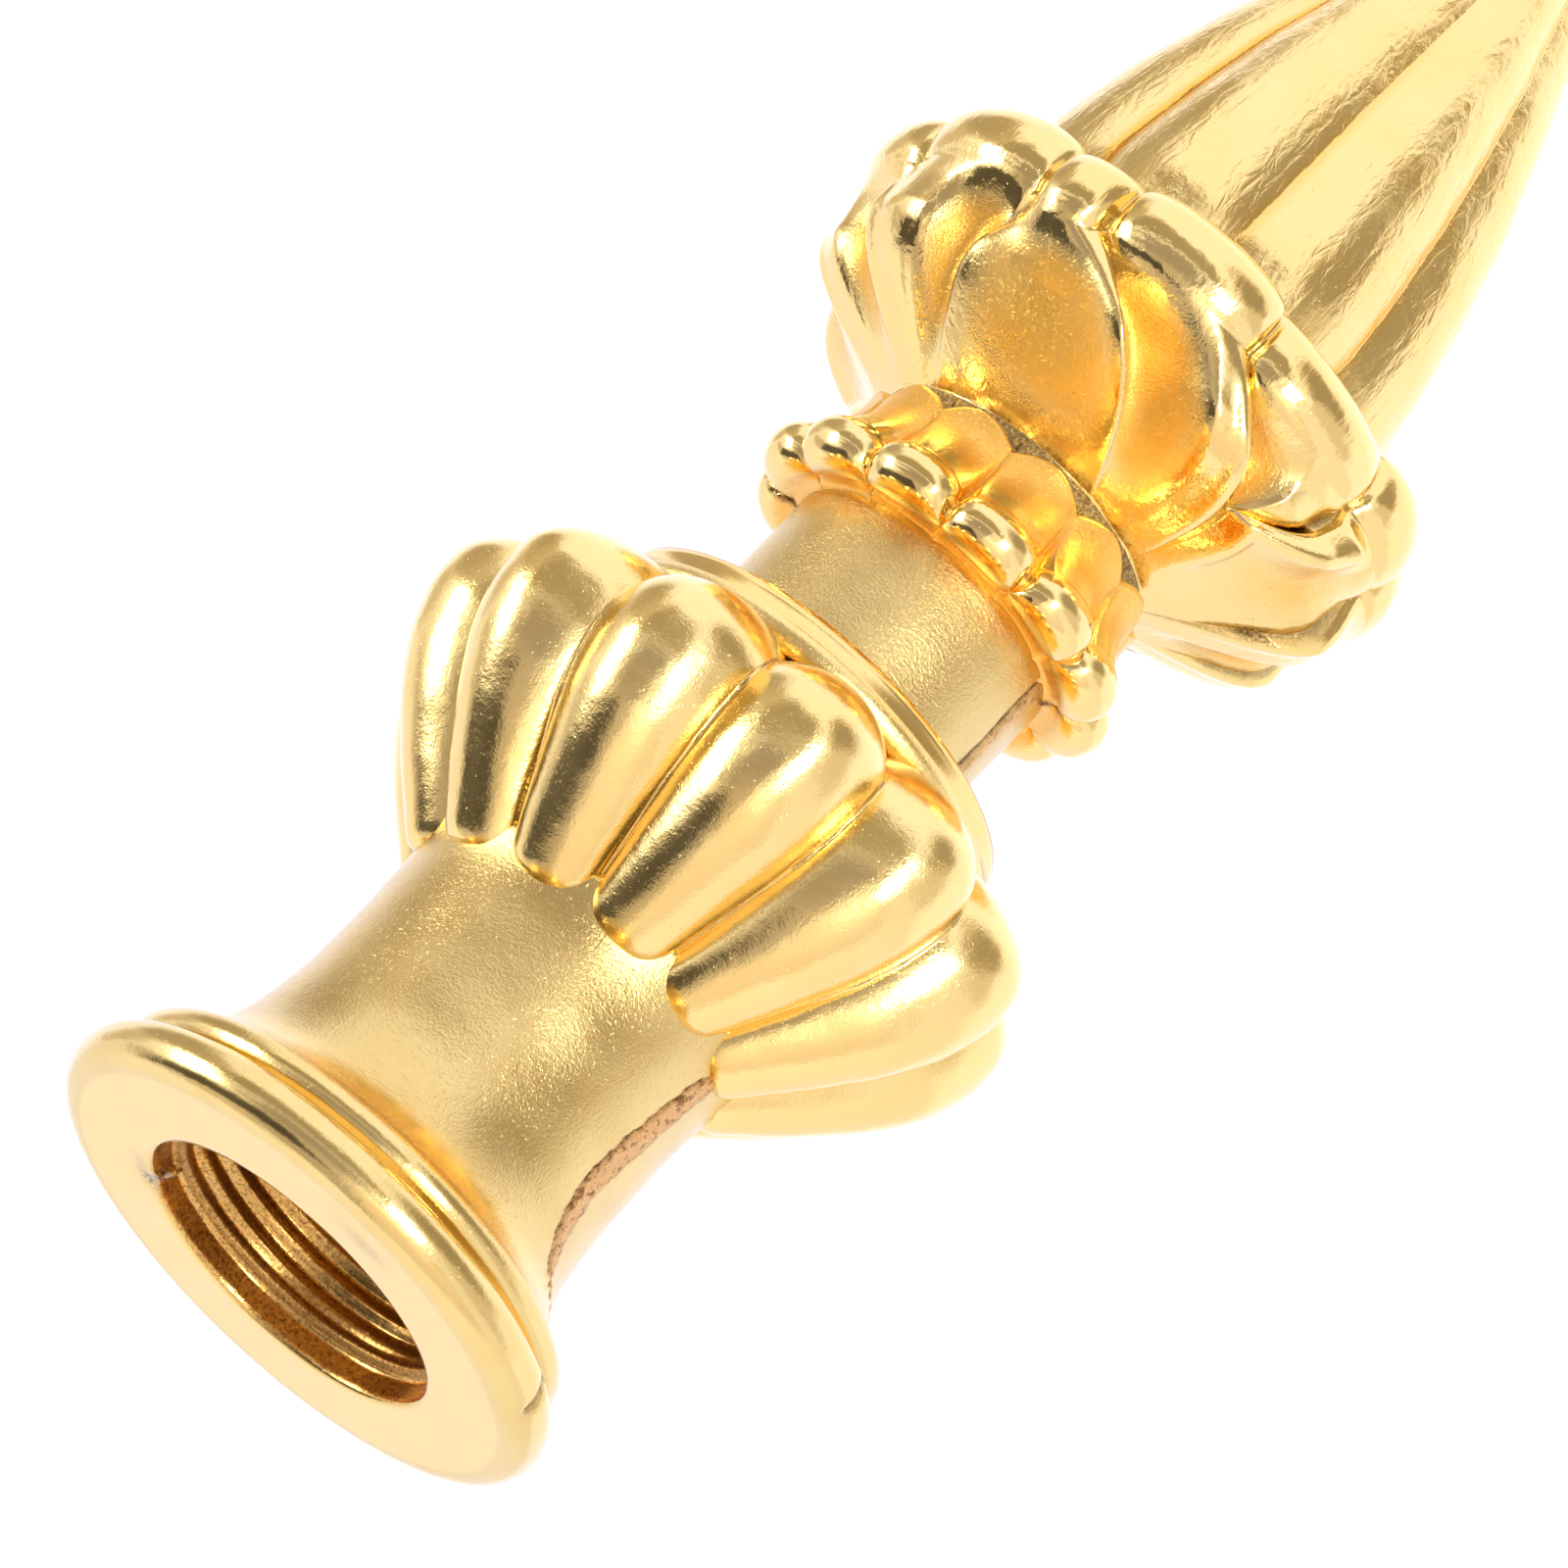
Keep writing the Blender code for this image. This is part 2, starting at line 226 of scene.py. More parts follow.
def formed(name, columns, rows, surface, material):
    """A grid rolled up round +Z onto a surface, which gives radius, height, turn and marks for each row and
    column. The grid's last column meets its first one, and the two are merged. A mark is a share from 0 to 1
    for each point, which the material reads."""
    mesh = bpy.data.meshes.new(name)
    shape = bmesh.new()
    bmesh.ops.create_grid(shape, x_segments=columns, y_segments=rows - 1, size=1)
    shape.to_mesh(mesh)
    shape.free()
    co = np.empty(len(mesh.vertices) * 3)
    mesh.vertices.foreach_get("co", co)
    co = co.reshape(-1, 3)
    row = np.rint((co[:, 1] + 1) / 2 * (rows - 1)).astype(int)
    column = np.rint((co[:, 0] + 1) / 2 * columns).astype(int) % columns
    radius, z, turn, marks = surface(row, column, rows, columns)
    angle = np.radians(turn)
    co = np.stack([radius * np.cos(angle), radius * np.sin(angle), z], axis=1) * MM
    mesh.vertices.foreach_set("co", co.ravel())
    for mark, values in marks.items():
        layer = mesh.attributes.new(mark, "FLOAT", "POINT")
        layer.data.foreach_set("value", np.clip(values, 0, 1) * np.ones(len(co)))
    shape = bmesh.new()
    shape.from_mesh(mesh)
    bmesh.ops.remove_doubles(shape, verts=shape.verts[:], dist=0.0005 * MM)
    bmesh.ops.recalc_face_normals(shape, faces=shape.faces[:])
    for face in shape.faces:
        face.smooth = True
    shape.to_mesh(mesh)
    shape.free()
    mesh.update()
    piece = bpy.data.objects.new(name, mesh)
    bpy.context.scene.collection.objects.link(piece)
    mesh.materials.append(material)
    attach(piece, "root")
    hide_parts("finial")
    return piece


# Foot with the threaded hole, and the waist


def waist_radius(z):
    return 5.67 + 1.56 * np.exp(-(z - 3.0) / 1.45) + 0.32 * np.exp((np.minimum(z, 12.9) - 12.9) / 0.8)


def foot_line():
    """The profile from the end of the socket down its wall, out over the foot and up the waist."""
    bore = [(0, SOCKET_TOP), (4.3, SOCKET_TOP), (BORE_RADIUS, 8.8), (BORE_RADIUS, 1.2)]
    ledge = [(4.83, 1.06), (5.08, LEDGE_LEVEL), (MOUTH_RADIUS, 0.92)]
    face = [(MOUTH_RADIUS, 0.1), (5.19, 0.03), (5.27, 0), (7.9, 0), (8.1, 0.01)]
    rim = arc_points(7.98, 0.86, 0.84, 0.84, -72, 68, 22, 0.8)
    groove = [(7.86, 1.72), (7.84, 1.76)]
    bead = arc_points(7.35, 2.28, 0.72, 0.6, -62, 58, 16, 0.85)
    waist = [(waist_radius(z), z) for z in np.linspace(3.02, WAIST_TOP, 60)]
    return bore + ledge + face + rim + groove + bead + [(7.42, 2.9)] + waist + [(0, WAIST_TOP + 0.2)]


def flash_band(z, turn):
    """Degrees that a point is inside the rough band along the seam, and degrees from the band's middle. The
    flash was cut back there by hand, and the band narrows down to a crack."""
    levels = (3.5, 3.8, 4.3, 5.2, 6.8, 8.5, 11.8, 12.8)
    middle = np.interp(z, levels, (-3, -6, -18, -22, -25, -23, -17, -14))
    width = np.interp(z, (3.4, 3.9, 4.4, 5.5, 7.0, 9.0, 11.6, 12.4), (0.6, 2.0, 5, 8, 9, 10, 9, 4))
    side = seam_offset(turn) - middle + 0.8 * wander(3 * turn, 5 * z, 4)
    return width / 2 - np.abs(side), side


def foot_surface(row, column, rows, columns):
    r_line, z_line = path(foot_line(), rows)
    radius, z = r_line[row], z_line[row]
    turn = column * 360 / columns
    ledge_row = np.argmax(r_line > 5.0)
    in_mouth = row < np.argmax(r_line > MOUTH_RADIUS - 0.03)
    in_socket = row < np.argmax(r_line > MOUTH_RADIUS + 0.05)
    on_bore = (row < ledge_row) & (radius > BORE_RADIUS - 0.01) & (z > 1.15)
    outside = (row > ledge_row) & (z > 0.001)

    # the thread, which runs out before both ends of the bore
    wave = 0.5 + 0.5 * np.cos(2 * math.pi * (z / THREAD_PITCH - turn / 360))
    thread = THREAD_DEPTH * (1 - wave**1.6) * ramp(z, 1.15, 1.5) * ramp(-z, -8.7, -8.2)
    radius = radius + on_bore * thread

    # the flash along the seam and the notch that it leaves in the rim
    inside, side = flash_band(z, turn)
    flash = ramp(inside, -0.6, 0.6) * ramp(z, 3.2, 3.6) * ramp(-z, -12.6, -12.2) * (r_line[row] > 5)
    flash_edge = bell(inside, 0.3, 1.1) * np.where(side < 0, 1.0, 0.35) * flash
    radius = radius + outside * (0.03 * wander(turn, 0.6 * z, 1) * (z > 2.6))
    radius = radius + flash * (0.05 + 0.05 * wander(11 * turn, 9 * z, 2)) - 0.14 * flash_edge
    notch_line = bell(seam_offset(turn), -17.5 - 2.2 * (z - 0.9), 1.3)
    notch = notch_line * ramp(z, 0.3, 0.6) * (z < 1.5) * outside
    radius = radius - 0.22 * notch

    # darker at the bottoms of the threads and in the hole's mouth, and faint stains and a nick on the face
    darker_marks = 0.35 * on_bore * wave**1.5 * (0.7 + 0.3 * wander(3 * turn, 5 * z, 8))
    darker_marks = darker_marks + 0.6 * ramp(z, 0.05, 0.2) * ramp(-z, -1.3, -1.1) * in_mouth
    stain = bell(radius, 6.8, 0.45) * bell(turn, 291.5, 7) + bell(radius, 5.5, 0.35) * bell(turn, 172, 9)
    stain = 0.35 * stain * (z < 0.01) * (radius > 5.1)
    nick = bell(turn, 165.5, 4.0) * ramp(radius, 4.7, 5.0) * ramp(-radius, -5.65, -5.4) * (z < 0.5)

    # orange where the waist meets the bead, on the side that the photograph shows, and in the groove
    # This orange is a painted reflection: of the bead in the waist's foot, stronger on one side, and of gold
    # in the groove and in the socket
    ragged = 0.55 + 0.45 * wander(7 * turn, 6 * z, 5)
    painted_bead_reflection = 0.7 * ragged * bell(z, 3.1, 0.3) * (0.4 + 0.6 * np.cos(np.radians(turn + 65)))
    groove = 0.3 * bell(z, 1.72, 0.12)
    satin = 0.12 + 0.28 * ramp(z, 3.2, 4.6) + 0.6 * bell(z, 3.0, 0.35)
    marks = {
        "hollow": np.maximum(painted_bead_reflection + groove, 0) * outside + 0.8 * in_socket,
        "satin": np.maximum(satin * outside, 0.15 * in_socket),
        "dull": (0.2 + 0.12 * ramp(z, 3.2, 4.6)) * outside,
        "dirt_and_shade": np.maximum(flash_edge + 0.8 * notch, np.minimum(darker_marks + stain, 0.6)),
        "scar": flash,
        "bore": 1.0 * in_socket,
        "nick": nick,
    }
    return radius, z + 0.12 * nick, turn, marks


# Bulb of lobes


def bulb_radius(z):
    rise = mix(6.1, BULB_RADIUS, np.sin(math.pi / 2 * np.clip((z - LOBE_FOOT) / 7.1, -0.3, 1)))
    share = np.clip((z - BULB_CREST) / 2.95, 0, 1)
    fall = mix(7.0, BULB_RADIUS, (1 - share**2.4) ** 0.85)
    return np.where(z < BULB_CREST, rise, fall)


def bulb_surface(row, column, rows, columns):
    turn = column * 360 / columns
    place = cell(turn, LOBES)
    fall = 1 - back(place)
    share = row / (rows - 1)

    # each column runs from the lobe's rounded lower end to the ring
    top = BULB_TOP + 0.06
    low = LOBE_FOOT + 0.95 * (1 - np.sqrt(np.maximum(0, 1 - place**2)))
    high = top - 0.4 * fall
    even = stage(share, 0.02, 0.98)
    z = mix(low, high, 0.5 * even + 0.5 * (0.5 - 0.5 * np.cos(math.pi * even)))
    lifted = LOBE_FOOT + (z - low) * (BULB_CREST - LOBE_FOOT) / (BULB_CREST - low)
    dropped = top - (high - z) * (top - BULB_CREST) / (high - BULB_CREST)
    crest = bulb_radius(np.where(z < BULB_CREST, lifted, dropped))

    # the lobe's round back, and its blunt lower edge
    half_width = crest * math.pi / LOBES
    radius = crest - half_width * 0.52 * fall * (0.6 + 0.4 * ramp(z, 12, 15))
    blunt = np.clip((z - low) / 0.3, 0, 1)
    radius = radius - 0.16 * (1 - np.sqrt(1 - (1 - blunt) ** 2))
    radius = radius + 0.025 * wander(turn, z, 5)
    radius = np.where((share < 0.01) | (share > 0.99), 0, radius)

    patchy = ramp(wander(2 * turn, 1.5 * z, 3), -0.1, 0.3) * ramp(z, 14, 16)
    # The orange in the grooves between the lobes and under the ring is a painted reflection of gold in gold
    marks = {
        "hollow": 0.25 * ramp(place, 0.93, 1.0) + 0.8 * ramp(z, 21.75, 22.0),
        "satin": 0.18,
        "dirt_and_shade": 0.9 * ramp(place, 0.97, 1.0) * patchy + 0.3 * bell(seam_offset(turn), 0, 0.7),
    }
    return radius, z, turn, marks


# Ring of two steps, and the stem


def stem_surface(row, column, rows, columns):
    lower = [(0, 21.6), (7.05, 21.7)] + arc_points(6.95, 22.2, 0.3, 0.32, -70, 62, 10, 0.6)
    upper = [(7.0, 22.52), (7.0, 22.56)] + arc_points(6.84, 22.9, 0.26, 0.32, -60, 80, 12, 0.6)
    foot = [(6.6, 23.24), (5.0, STEM_FOOT), (4.78, 23.36), (4.69, 23.5), (STEM_RADIUS, 23.7)]
    stem = [(STEM_RADIUS, 28.5), (0, 28.6)]
    r_line, z_line = path(lower + upper + foot + stem, rows)
    radius, z = r_line[row], z_line[row]
    turn = column * 360 / columns
    on_stem = (z > 23.5) & (radius > STEM_RADIUS - 0.06)

    # the seam's crack, a little before the parting plane, with the bare metal beside it
    side = seam_offset(turn) + 16.5 - 0.6 * wander(5 * turn, 2.2 * z, 6)
    crack = bell(side, 0, 1.8 + 1.4 * ramp(-z, -25.5, -24))
    radius = radius + (0.012 * wander(turn, z, 7) - 0.12 * crack) * on_stem
    darker_marks = np.maximum(crack * (0.9 + 0.1 * wander(8 * turn, 5 * z, 2)), 0.8 * bell(z, 28.1, 0.07))
    smooth_stem = ramp(z, STEM_FOOT, 23.7)
    # The orange in the ring's step and in the corners at the stem's foot is a painted reflection
    marks = {
        "hollow": bell(z, 22.54, 0.06) + bell(z, 23.24, 0.1) + bell(z, 23.5, 0.12),
        "satin": 0.34 * smooth_stem + 0.25 * (z < 22.5),
        "dull": 0.34 * smooth_stem,
        "dirt_and_shade": darker_marks * on_stem,
        "scar": 0.7 * ramp(side, 0.5, 2.0) * (1 - ramp(side, 4, 9)) * on_stem,
    }
    return radius, z, turn, marks


# Collar of leaves, each with a bead at its foot


def collar_surface(row, column, rows, columns):
    turn = column * 360 / columns
    place = cell(turn, LEAVES)
    round_end = (1 - place**2.4) ** 0.62
    share = row / (rows - 1)
    under = stage(share, 0.02, UNDER_END)
    over = stage(share, UNDER_END, BEAD_END)
    face = stage(share, BEAD_END, LEAF_END)
    edge = stage(share, LEAF_END, EDGE_END)
    neck = stage(share, EDGE_END, NECK_END)

    # the beads, from their lower side outward and up
    thick = mix(0.46, 0.9, round_end)
    bead_r = mix(5.2, 5.74, round_end)
    bead_z = 29.08 - 0.1 * (1 - round_end)
    start, stop = math.radians(-125), math.radians(62)
    radius, z = round_point(bead_r, bead_z, thick, thick, mix(start, stop, over))
    foot_r, foot_z = round_point(bead_r, bead_z, thick, thick, start)
    top_r, top_z = round_point(bead_r, bead_z, thick, thick, stop)

    # the arched hollow under them
    arch = 0.22 * round_end * np.sin(math.pi * under)
    r_under = mix(4.5, foot_r, under) - 0.5 * arch
    z_under = mix(COLLAR_FOOT - 0.02 * place, foot_z, under**1.3) + arch
    radius = np.where(share < UNDER_END, r_under, radius)
    z = np.where(share < UNDER_END, z_under, z)

    # the leaves' faces, which lean in between bead and tip
    tip_z = COLLAR_TOP + 0.14 - 0.55 * place**1.8
    tip_r = 5.28 - 0.12 * place
    bow = np.sin(math.pi * face)
    lean = 0.35 * bow * (1 - 0.75 * place**2) + 0.1 * ramp(place, 0.85, 1.0) * bow
    radius = np.where(share >= BEAD_END, mix(top_r, tip_r, face) - lean, radius)
    z = np.where(share >= BEAD_END, mix(top_z, tip_z, face), z)

    # their rough cut edge, and the neck
    rough = 0.012 * wander(4 * turn, 6 * z, 3)
    radius = np.where(share >= LEAF_END, mix(tip_r, 4.92, edge) + rough * edge, radius)
    z = np.where(share >= LEAF_END, tip_z + 0.12 * np.sin(math.pi * edge / 2), z)
    z = np.where(share >= EDGE_END, mix(tip_z + 0.12, CUP_FOOT - 0.03, neck), z)
    z = np.where(share < 0.02, COLLAR_FOOT, z)
    radius = np.where((share < 0.01) | (share > 0.985), 0, radius)

    # The orange under the beads, on the leaves' faces and between the leaves is a painted reflection of gold
    # in gold
    leaf_orange_reflection = 0.88 * ramp(face, 0.12, 0.4) * (1 - ramp(edge, 0, 0.5))
    seam = bell(seam_offset(turn), -1, 2.2) * (share < 0.3)
    marks = {
        "hollow": 0.9 - 0.9 * ramp(share, 0.2, 0.3) + leaf_orange_reflection + 0.5 * ramp(place, 0.9, 1),
        "satin": 0.8 * ramp(face, 0.1, 0.5) + 0.5 * (1 - ramp(share, 0.2, 0.38)),
        "dirt_and_shade": 0.82 * ramp(edge, 0.2, 0.9) + seam + 0.35 * ramp(place, 0.96, 1) * (over > 0.1),
    }
    return radius, z, turn, marks


# Cup of petals


def petal_lines(share):
    """First edges of the twelve petals and of the one past the last, in degrees, for a share of the way up
    to the lips. The short petal's edge runs round the cup's foot before it rises. An edge never passes back
    over the one before it."""
    edges = []
    for half in (0, 180):
        for index, petal in enumerate(PETALS):
            rise = share**petal.curve
            if index == SHORT_PETAL:
                rise = 1 - np.exp(-share / petal.curve)
            angle = mix(petal.foot, petal.lip, rise) + half
            if edges:
                angle = np.maximum(angle, edges[-1] + 0.3)
            edges.append(angle)
    edges.append(edges[0] + 360)
    return edges


def cup_ridge(z):
    """Radius of the cup's flank, where it's neither hollow nor folded."""
    rise = np.clip((z - CUP_FOOT) / 3.15, 0, 1)
    return 4.86 + 4.6 * np.sin(math.pi / 2 * rise) ** 1.12 + 0.35 * ramp(z, 35.5, 38)


def petal_lip(petal, hump, crease, angle):
    """Radius and height on a petal's rolled lip, at an angle round its section. hump is 1 on the petal's
    middle line and 0 at its edges, and crease how deep the lip is drawn in."""
    thick = mix(1.15, petal.fat, hump) - 0.3 * crease
    high = 1.12 * thick
    top = LIP_TOP + (petal.top - LIP_TOP) * 0.7 * hump - 0.5 * crease
    return round_point(LIP_RADIUS - 0.95 * crease - thick, top - high, thick, high, angle)


def petal_flank(petal, u, half_width, flank):
    """How deep a petal's flank is hollowed, how high its border stands, and how far it steps in where its
    neighbour lies over it. u is -1 at its first edge and 1 at its last."""
    scale = np.clip(half_width / 2.4, 0, 1)
    over = np.where(u < 0, petal.over_left, petal.over_right)
    lift = np.minimum(over, 1)
    fold = np.maximum(over - 1, 0)
    side = np.sign(petal.pit_at)
    off = (u - petal.pit_at - 0.25 * (0.5 - flank) * side) / petal.pit_wide
    hollow = petal.pit_deep * scale * np.sin(math.pi * flank**1.25) ** 1.25
    hollow = hollow * np.maximum(0, 1 - off**2) ** 1.4
    hollow = hollow * (1 - np.where(lift > 0, 1.0, 0.45) * np.abs(u) ** 6)
    swell = 0.22 * scale * (1 - ramp(petal.pit_wide, 0.7, 1.0)) * bell(off, -2.0 * side, 0.9)
    hollow = hollow - swell * np.sin(math.pi * flank)
    from_edge = (1 - np.abs(u)) * half_width
    border = (0.16 * lift + 0.7 * fold) * bell(from_edge, 0.28 + 0.6 * fold, 0.3 + 0.45 * fold)
    border = border * ramp(flank, 0.05, 0.3) * (1 - ramp(flank, 0.7 + 0.12 * fold, 1.0))
    step = 0.42 * (1 - lift) * np.exp(-from_edge / 0.9) * ramp(flank, 0.1, 0.35)
    return hollow, border, step * (1 - ramp(flank, 0.8, 1.0))


def cup_surface(row, column, rows, columns):
    share = row / (rows - 1)
    flank = stage(share, 0.01, FLANK_END)
    roll = stage(share, FLANK_END, ROLL_END)
    inner = stage(share, ROLL_END, 0.99)

    # the petal that each column is on, its own sizes, and its place between its edges
    per_petal = columns // (2 * len(PETALS))
    number = column // per_petal
    kind = number % len(PETALS)
    petal = Petal(*(np.choose(kind, values) for values in zip(*PETALS)))
    inside = (column % per_petal) / (per_petal - 1)
    u = 2 * inside - 1
    lines = petal_lines(flank)
    first = np.choose(number, lines[:-1])
    last = np.choose(number, lines[1:])
    width = np.maximum(last - first - PETAL_GAP, 0.05)
    turn = first + PETAL_GAP / 2 + width * inside
    half_width = np.radians(width) / 2 * CUP_MEAN_RADIUS

    # the lip, rolled outward and in over the top, with creases that fade toward the bud
    hump = np.sqrt(np.maximum(0, 1 - np.abs(u) ** 2.2))
    crease = (1 - hump) * (1 - 0.45 * ramp(roll, 0.3, 0.7))
    start, stop = math.radians(-42), math.radians(150)
    radius, z = petal_lip(petal, hump, crease, mix(start, stop, roll))
    start_r, start_z = petal_lip(petal, hump, crease, start)
    stop_r, stop_z = petal_lip(petal, hump, crease, stop)

    # the flank, which runs up into the lip
    hollow, border, step = petal_flank(petal, u, half_width, flank)
    z_flank = mix(CUP_FOOT - 0.1, start_z, flank)
    r_flank = cup_ridge(z_flank) - hollow + border - step
    r_flank = r_flank + (start_r - cup_ridge(start_z)) * flank**4
    radius = np.where(share < FLANK_END, r_flank, radius)
    z = np.where(share < FLANK_END, z_flank, z)

    # the lip's inner side, down to the bud
    tuck_r, tuck_z = 6.9, 38.3
    radius = np.where(share > ROLL_END, mix(stop_r, tuck_r, inner), radius)
    z = np.where(share > ROLL_END, mix(stop_z, tuck_z, inner), z)
    radius = radius + 0.03 * wander(turn, z, 9) * ramp(share, 0.1, 0.3)
    radius = np.where((share < 0.005) | (share > 0.995), 0, radius)
    z = np.where(share < 0.005, CUP_FOOT - 0.1, z)

    # The orange in the hollows and in the steps under a neighbouring petal is a painted reflection, paler on
    # the pale petal
    pit = ramp(hollow, 0.15, 0.75) * (1 - ramp(flank, 0.78, 0.97)) + 0.7 * step
    less_orange_reflection = np.where(kind == PALE_PETAL, mix(0.55, 1.0, ramp(u - flank, -1.4, -0.5)), 1.0)
    seam = 0.5 * bell(seam_offset(turn), 0, 0.6) * (flank < 0.4)
    marks = {
        "hollow": pit * less_orange_reflection,
        "satin": 0.8 * ramp(hollow, 0.05, 0.5) * (1 - ramp(flank, 0.78, 1.0)),
        # the step under a neighbouring petal is painted darker as shade, and the seam's line is dirt
        "dirt_and_shade": 0.55 * ramp(step, 0.3, 0.42) + seam,
    }
    return radius, z, turn, marks


# Fluted bud


def bud_surface(row, column, rows, columns):
    ball = 0.8
    taper_power = 1.5
    low = [(0, 37.6), (7.2, 37.7), (7.28, BUD_FOOT)]
    taper = []
    for share in np.linspace(0.01, (1 - ball / BUD_RADIUS) ** (1 / taper_power), 90):
        taper.append((BUD_RADIUS * (1 - share**taper_power), BUD_FOOT + BUD_LENGTH * share))
    end = taper[-1][1]
    tip = arc_points(0, end, ball, ball, 8, 90, 10)
    r_line, z_line = path(low + taper + tip, rows)
    radius, z = r_line[row], z_line[row]
    turn = column * 360 / columns
    place = cell(turn - 7.5, RIBS)
    fade = 1 - ramp(z, end - 1.0, end + 0.3)
    depth = 0.1 * (1 - back(place, 66))
    radius = radius * (1 - depth * fade) + 0.04 * wander(turn, 0.5 * z, 11) * fade * (z > 38)

    # one flute, on the side that the photograph shows, is a sharp orange line
    # The orange in the flutes and this line are a painted orange reflection
    from_flute = np.mod(turn + 127.5 + 180, 360) - 180
    flute_orange_reflection = 0.55 * ramp(place, 0.84, 1.0) * (1 - ramp(z, 46, 54))
    marks = {
        "hollow": flute_orange_reflection + 0.9 * bell(from_flute, 0, 1.6) * (1 - ramp(z, 48, 54)),
        "satin": 0.1,
        "dirt_and_shade": 0.35 * bell(seam_offset(turn), 0, 0.8) * (0.5 + 0.5 * wander(7 * turn, 3 * z, 2)),
    }
    return radius, z, turn, marks


# Gold plate


class Nodes:
    """A node tree with short ways to add a node and to link it."""

    def __init__(self, tree):
        self.tree = tree

    def add(self, kind, settings=None, **inputs):
        node = self.tree.nodes.new(kind)
        for name, value in (settings or {}).items():
            setattr(node, name, value)
        for name, value in inputs.items():
            self.put(node.inputs[name], value)
        return node

    def put(self, socket, value):
        if isinstance(value, bpy.types.NodeSocket):
            self.tree.links.new(value, socket)
        else:
            socket.default_value = value

    def math(self, operation, a, b=0.0, clamp=False):
        node = self.add("ShaderNodeMath", {"operation": operation, "use_clamp": clamp})
        self.put(node.inputs[0], a)
        self.put(node.inputs[1], b)
        return node.outputs[0]

    def times(self, a, b, clamp=False):
        return self.math("MULTIPLY", a, b, clamp)

    def plus(self, a, b):
        return self.math("ADD", a, b)

    def blend(self, share, a, b):
        node = self.add("ShaderNodeMix", {"data_type": "RGBA"})
        self.put(node.inputs[0], share)
        self.put(node.inputs[6], a)
        self.put(node.inputs[7], b)
        return node.outputs[2]

    def band(self, value, low, high, to_low=0.0, to_high=1.0):
        """to_low where the value is low or less, to_high where it's high or more, smooth between."""
        node = self.add("ShaderNodeMapRange", {"interpolation_type": "SMOOTHSTEP"})
        for socket, setting in zip(node.inputs, (value, low, high, to_low, to_high)):
            self.put(socket, setting)
        return node.outputs[0]

    def noise(self, place, scale, detail=2.0, roughness=0.5, distortion=0.0):
        node = self.add("ShaderNodeTexNoise", Vector=place, Scale=scale, Detail=detail, Roughness=roughness)
        self.put(node.inputs["Distortion"], distortion)
        return node.outputs["Fac"]


def plate_colour(tree, marks, slow, hollow):
    """Pale gold, duller on the worn parts, with a painted orange reflection in the hollows."""
    colour = tree.blend(tree.band(slow, 0.3, 0.7), GOLD, PALE_GOLD)
    dull = tree.times(marks["dull"], tree.band(slow, 0.35, 0.65, 1.15, 0.85), True)
    colour = tree.blend(dull, colour, DULL_GOLD)
    return tree.blend(hollow, colour, PAINTED_ORANGE_REFLECTION)


def worn_colour(tree, marks, colour, fine, specks, dirt_and_shade):
    """The plate's colour with the stains, bare metal and dirt on it, and the painted glints and painted
    shade.
    """
    thin = tree.times(marks["bore"], tree.band(fine, 0.3, 0.65, 0.35, 1.0))
    colour = tree.blend(thin, colour, THIN_PLATE)
    tarnish = tree.times(marks["bore"], tree.band(specks, 0.5, 0.6, 0.0, 0.75))
    colour = tree.blend(tarnish, colour, TARNISH)
    raw = tree.blend(tree.band(fine, 0.36, 0.5), RAW_CASTING, FILED_CASTING)
    # bright specks on the bare casting are painted glints
    raw = tree.blend(tree.band(specks, 0.58, 0.66), raw, PAINTED_GLINT)
    colour = tree.blend(marks["scar"], colour, raw)
    # These dirt colours also paint the shade in the steps under overlapping petals
    brown = tree.blend(tree.band(fine, 0.4, 0.62), DARK_DIRT_AND_SHADE, PALE_DIRT_AND_SHADE)
    brown = tree.blend(marks["bore"], brown, DARK_SOCKET_COLOUR)
    brown = tree.blend(tree.band(marks["dirt_and_shade"], 0.55, 0.9), brown, CRACK_DIRT)
    colour = tree.blend(dirt_and_shade, colour, brown)
    nick = tree.times(marks["nick"], tree.band(specks, 0.35, 0.6))
    return tree.blend(nick, colour, BARE_NICK)


def gold_roughness(tree, marks, slow, specks, dirt_and_shade, shine):
    rough = tree.band(slow, 0.3, 0.72, shine * 0.8, shine * 1.35)
    rough = tree.plus(rough, tree.times(marks["satin"], 0.23))
    rough = tree.plus(rough, tree.times(dirt_and_shade, 0.35))
    rough = tree.plus(rough, tree.times(marks["scar"], 0.3))
    return tree.plus(rough, tree.band(specks, 0.62, 0.75, 0.0, 0.08))


def gold_relief(tree, marks, place, drawn, fine, specks, wave, wrinkle, grain):
    """Height in millimetres: swells, ripples, wrinkles, sand grain, pits, crusts and raised grains."""
    height = tree.times(tree.noise(place, 0.9, 2.0, 0.45), 2.2 * wave)
    ripple = tree.times(tree.noise(place, 2.6, 3.0, 0.55), wave)
    draw = tree.times(tree.noise(drawn, 2.8, 3.0, 0.56, 0.8), wrinkle)
    sand = tree.times(tree.noise(place, 10.5, 3.0, 0.66), grain)
    sand = tree.times(sand, tree.band(marks["satin"], 0.0, 0.4, 0.1, 1.0))
    pits = tree.add("ShaderNodeTexVoronoi", {"feature": "F1"}, Vector=place, Scale=4.2, Randomness=1.0)
    pit = tree.band(pits.outputs["Distance"], 0.0, 0.16, -0.012, 0.0)
    pit = tree.times(pit, tree.band(fine, 0.5, 0.6))
    crust = tree.times(tree.times(specks, 0.06), tree.plus(marks["dirt_and_shade"], marks["scar"]))
    raised = tree.band(tree.noise(place, 7.0, 1.0, 0.5), 0.62, 0.72, 0.0, 0.012)
    raised = tree.times(raised, marks["satin"])
    for part in (ripple, draw, sand, pit, crust, raised):
        height = tree.plus(height, part)
    return height


